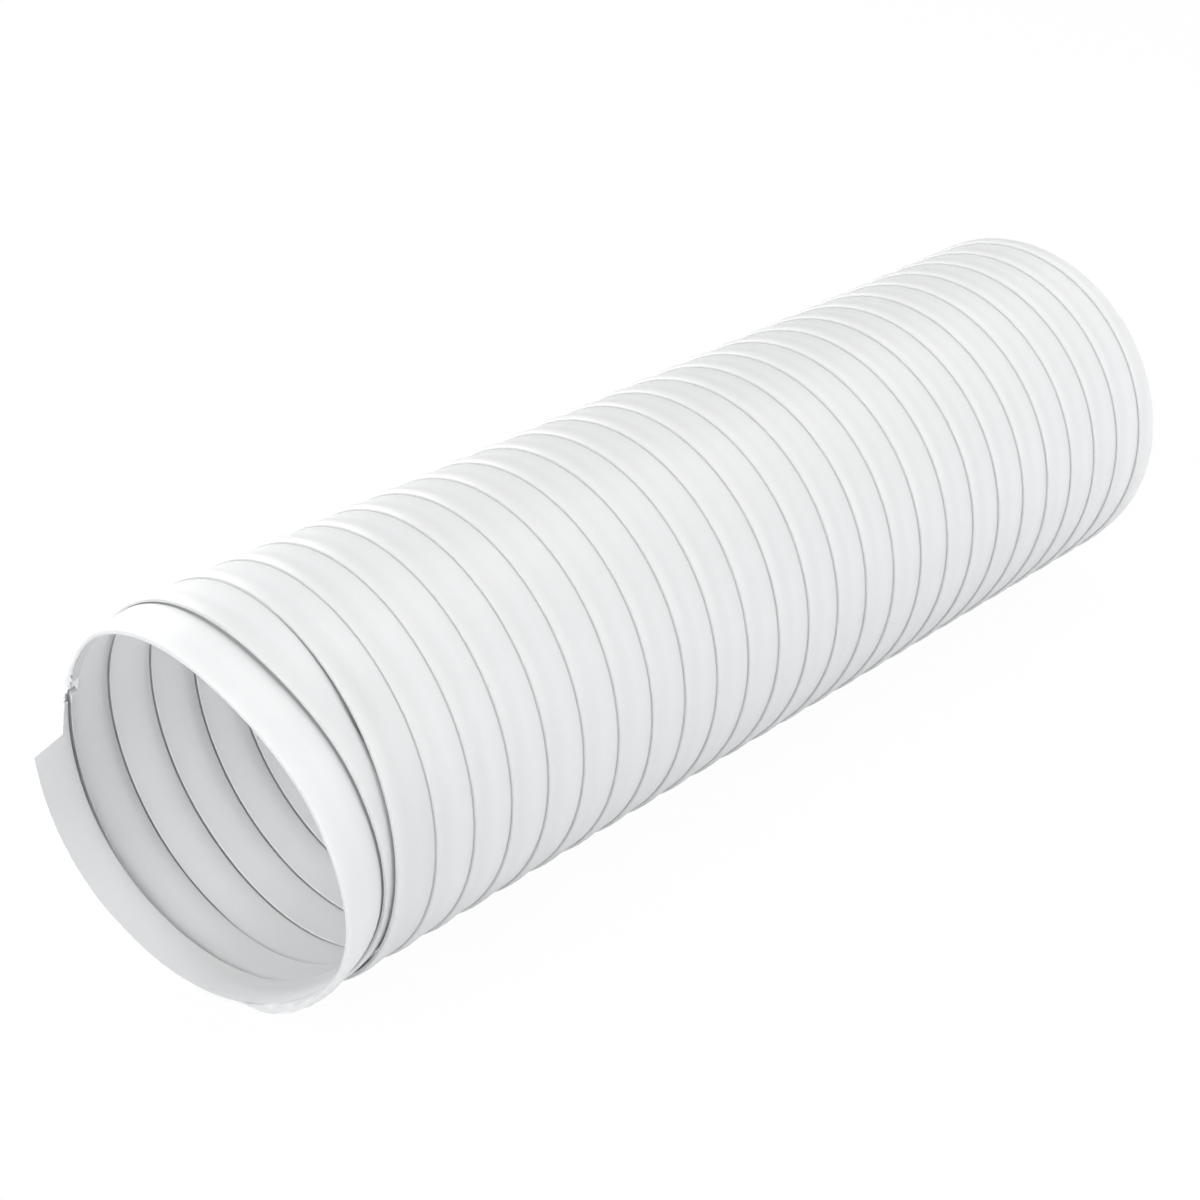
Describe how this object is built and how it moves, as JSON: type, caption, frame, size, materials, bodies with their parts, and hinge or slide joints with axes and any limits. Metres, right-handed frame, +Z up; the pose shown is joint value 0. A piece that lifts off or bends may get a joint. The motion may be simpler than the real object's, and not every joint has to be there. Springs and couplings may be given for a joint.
{
  "type": "air conditioner exhaust hose",
  "caption": "Round exhaust hose of plastic strip wound in a left-hand helix with lapped turns, loose at the mouth and cut square at the back end.",
  "frame": {"origin": "centre of the hose's footprint on the floor", "axes": "+Y along the hose, from its loose mouth to its square-cut end; +Z up; +X to the right when looking along +Y"},
  "size_m": [0.15, 0.4929, 0.15],
  "materials": {
    "white_plastic": "satin, slightly translucent white polypropylene"
  },
  "bodies": {
    "root": {"wound_strip": "white_plastic"}
  },
  "joints": []
}
